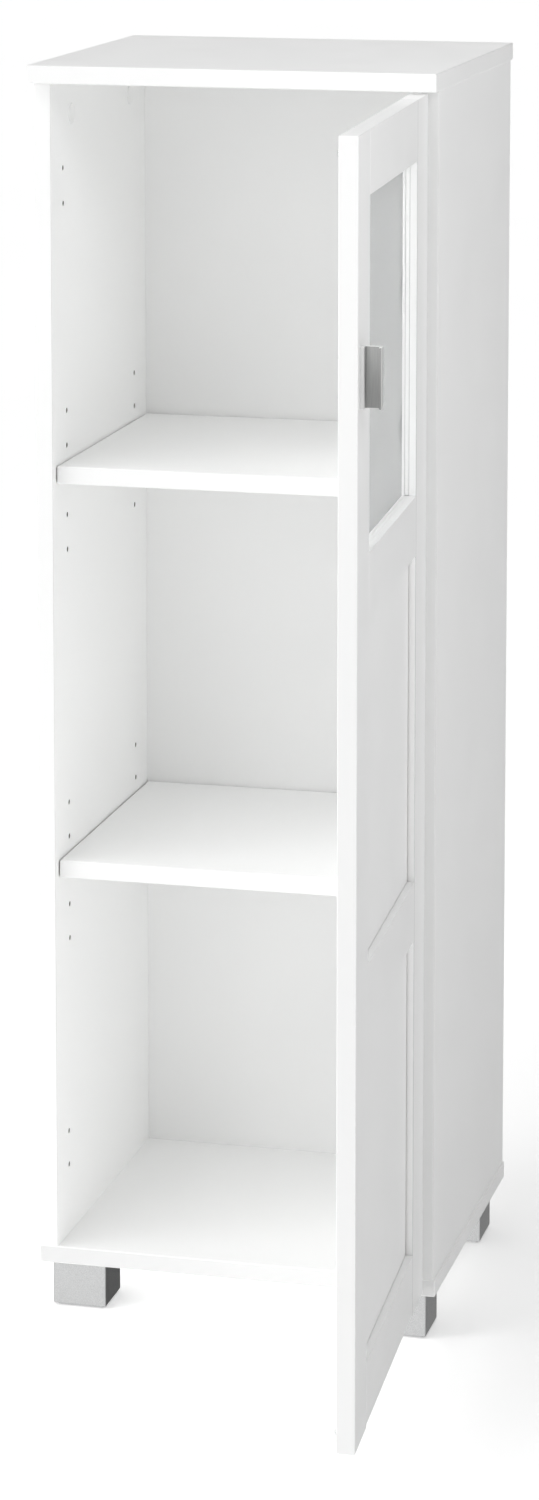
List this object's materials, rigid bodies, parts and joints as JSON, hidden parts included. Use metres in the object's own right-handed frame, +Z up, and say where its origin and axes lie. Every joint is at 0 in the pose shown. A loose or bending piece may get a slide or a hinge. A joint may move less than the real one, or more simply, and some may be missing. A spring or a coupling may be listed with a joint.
{
  "type": "bathroom cabinet",
  "caption": "Tall white bathroom cabinet on square feet, with loose shelves and a framed door with a frosted window, on concealed hinges.",
  "frame": {"origin": "on the floor, under the middle of the whole part's bounding box with the door as it stands open", "axes": "+Z up; the cabinet's front faces -Y; +X to the viewer's right, the side that the door is hinged on"},
  "size_m": [0.3992, 0.7012, 1.15],
  "materials": {
    "white_board": "white melamine-faced particleboard with white edging, satin",
    "back_board": "white-faced thin hardboard, satin",
    "door_foil": "fibreboard wrapped in white foil, satin",
    "door_panel": "thin fibreboard with white foil, satin",
    "frosted_glass": "frosted",
    "hinge_steel": "nickel-plated pressed steel",
    "pivot_steel": "plain steel pin",
    "screw_steel": "zinc-plated",
    "pin_steel": "nickel-plated",
    "cam_zinc": "cast zinc, dull",
    "cover_plastic": "white moulded plastic",
    "beech_dowel": "raw fluted beech",
    "foot_silver": "silver-painted moulded plastic, satin",
    "handle_aluminium": "satin anodised",
    "clip_plastic": "clear-white moulded plastic",
    "buffer_rubber": "soft clear rubber"
  },
  "bodies": {
    "carcass": {"top_panel": "white_board", "base_panel": "white_board", "side_panel_left": "white_board", "side_panel_right": "white_board", "back_panel": "back_board", "cam_locks": "cam_zinc", "cam_covers": "cover_plastic", "cam_bolts": "screw_steel", "wood_dowels": "beech_dowel", "base_screws": "screw_steel", "shelf_pins_upper": "pin_steel", "shelf_pins_lower": "pin_steel", "foot_front_left": "foot_silver", "foot_front_right": "foot_silver", "foot_rear_left": "foot_silver", "foot_rear_right": "foot_silver", "foot_screws": "screw_steel", "hinge_plates": "hinge_steel", "plate_screws": "screw_steel", "hinge_arms": "hinge_steel", "arm_screws": "screw_steel", "arm_pins": "pivot_steel"},
    "links": {"hinge_links": "hinge_steel"},
    "door": {"door_stile_free": "door_foil", "door_stile_hinge": "door_foil", "door_rail_top": "door_foil", "door_rail_middle_upper": "door_foil", "door_rail_middle_lower": "door_foil", "door_rail_bottom": "door_foil", "door_panel_middle": "door_panel", "door_panel_bottom": "door_panel", "door_glass": "frosted_glass", "glass_strips": "door_foil", "glass_clips": "clip_plastic", "clip_screws": "screw_steel", "door_handle": "handle_aluminium", "handle_screws": "screw_steel", "door_buffers": "buffer_rubber", "hinge_cups": "hinge_steel", "cup_screws": "screw_steel", "cup_pins": "pivot_steel"},
    "shelf_upper": {"shelf_upper": "white_board"},
    "shelf_lower": {"shelf_lower": "white_board"}
  },
  "joints": [
    {"name": "link_turn", "type": "hinge", "parent": "carcass", "child": "links", "pos_m": [0.14206, 0.02764, 0.58975], "axis": [0, 0, 1], "range_deg": [-5.18, 35.5]},
    {"name": "door_swing", "type": "hinge", "parent": "links", "child": "door", "pos_m": [0.14846, 0.00588, 0.58975], "axis": [0, 0, 1], "range_deg": [-128.89, 18.77]},
    {"name": "upper_shelf_lift", "type": "slide", "parent": "carcass", "child": "shelf_upper", "axis": [0, 0, 1], "range_m": [0, 0.06]},
    {"name": "lower_shelf_lift", "type": "slide", "parent": "carcass", "child": "shelf_lower", "axis": [0, 0, 1], "range_m": [0, 0.06]}
  ],
  "couplings": [
    {"joint": "link_turn", "follows": "door_swing", "ratio": -0.27536}
  ]
}
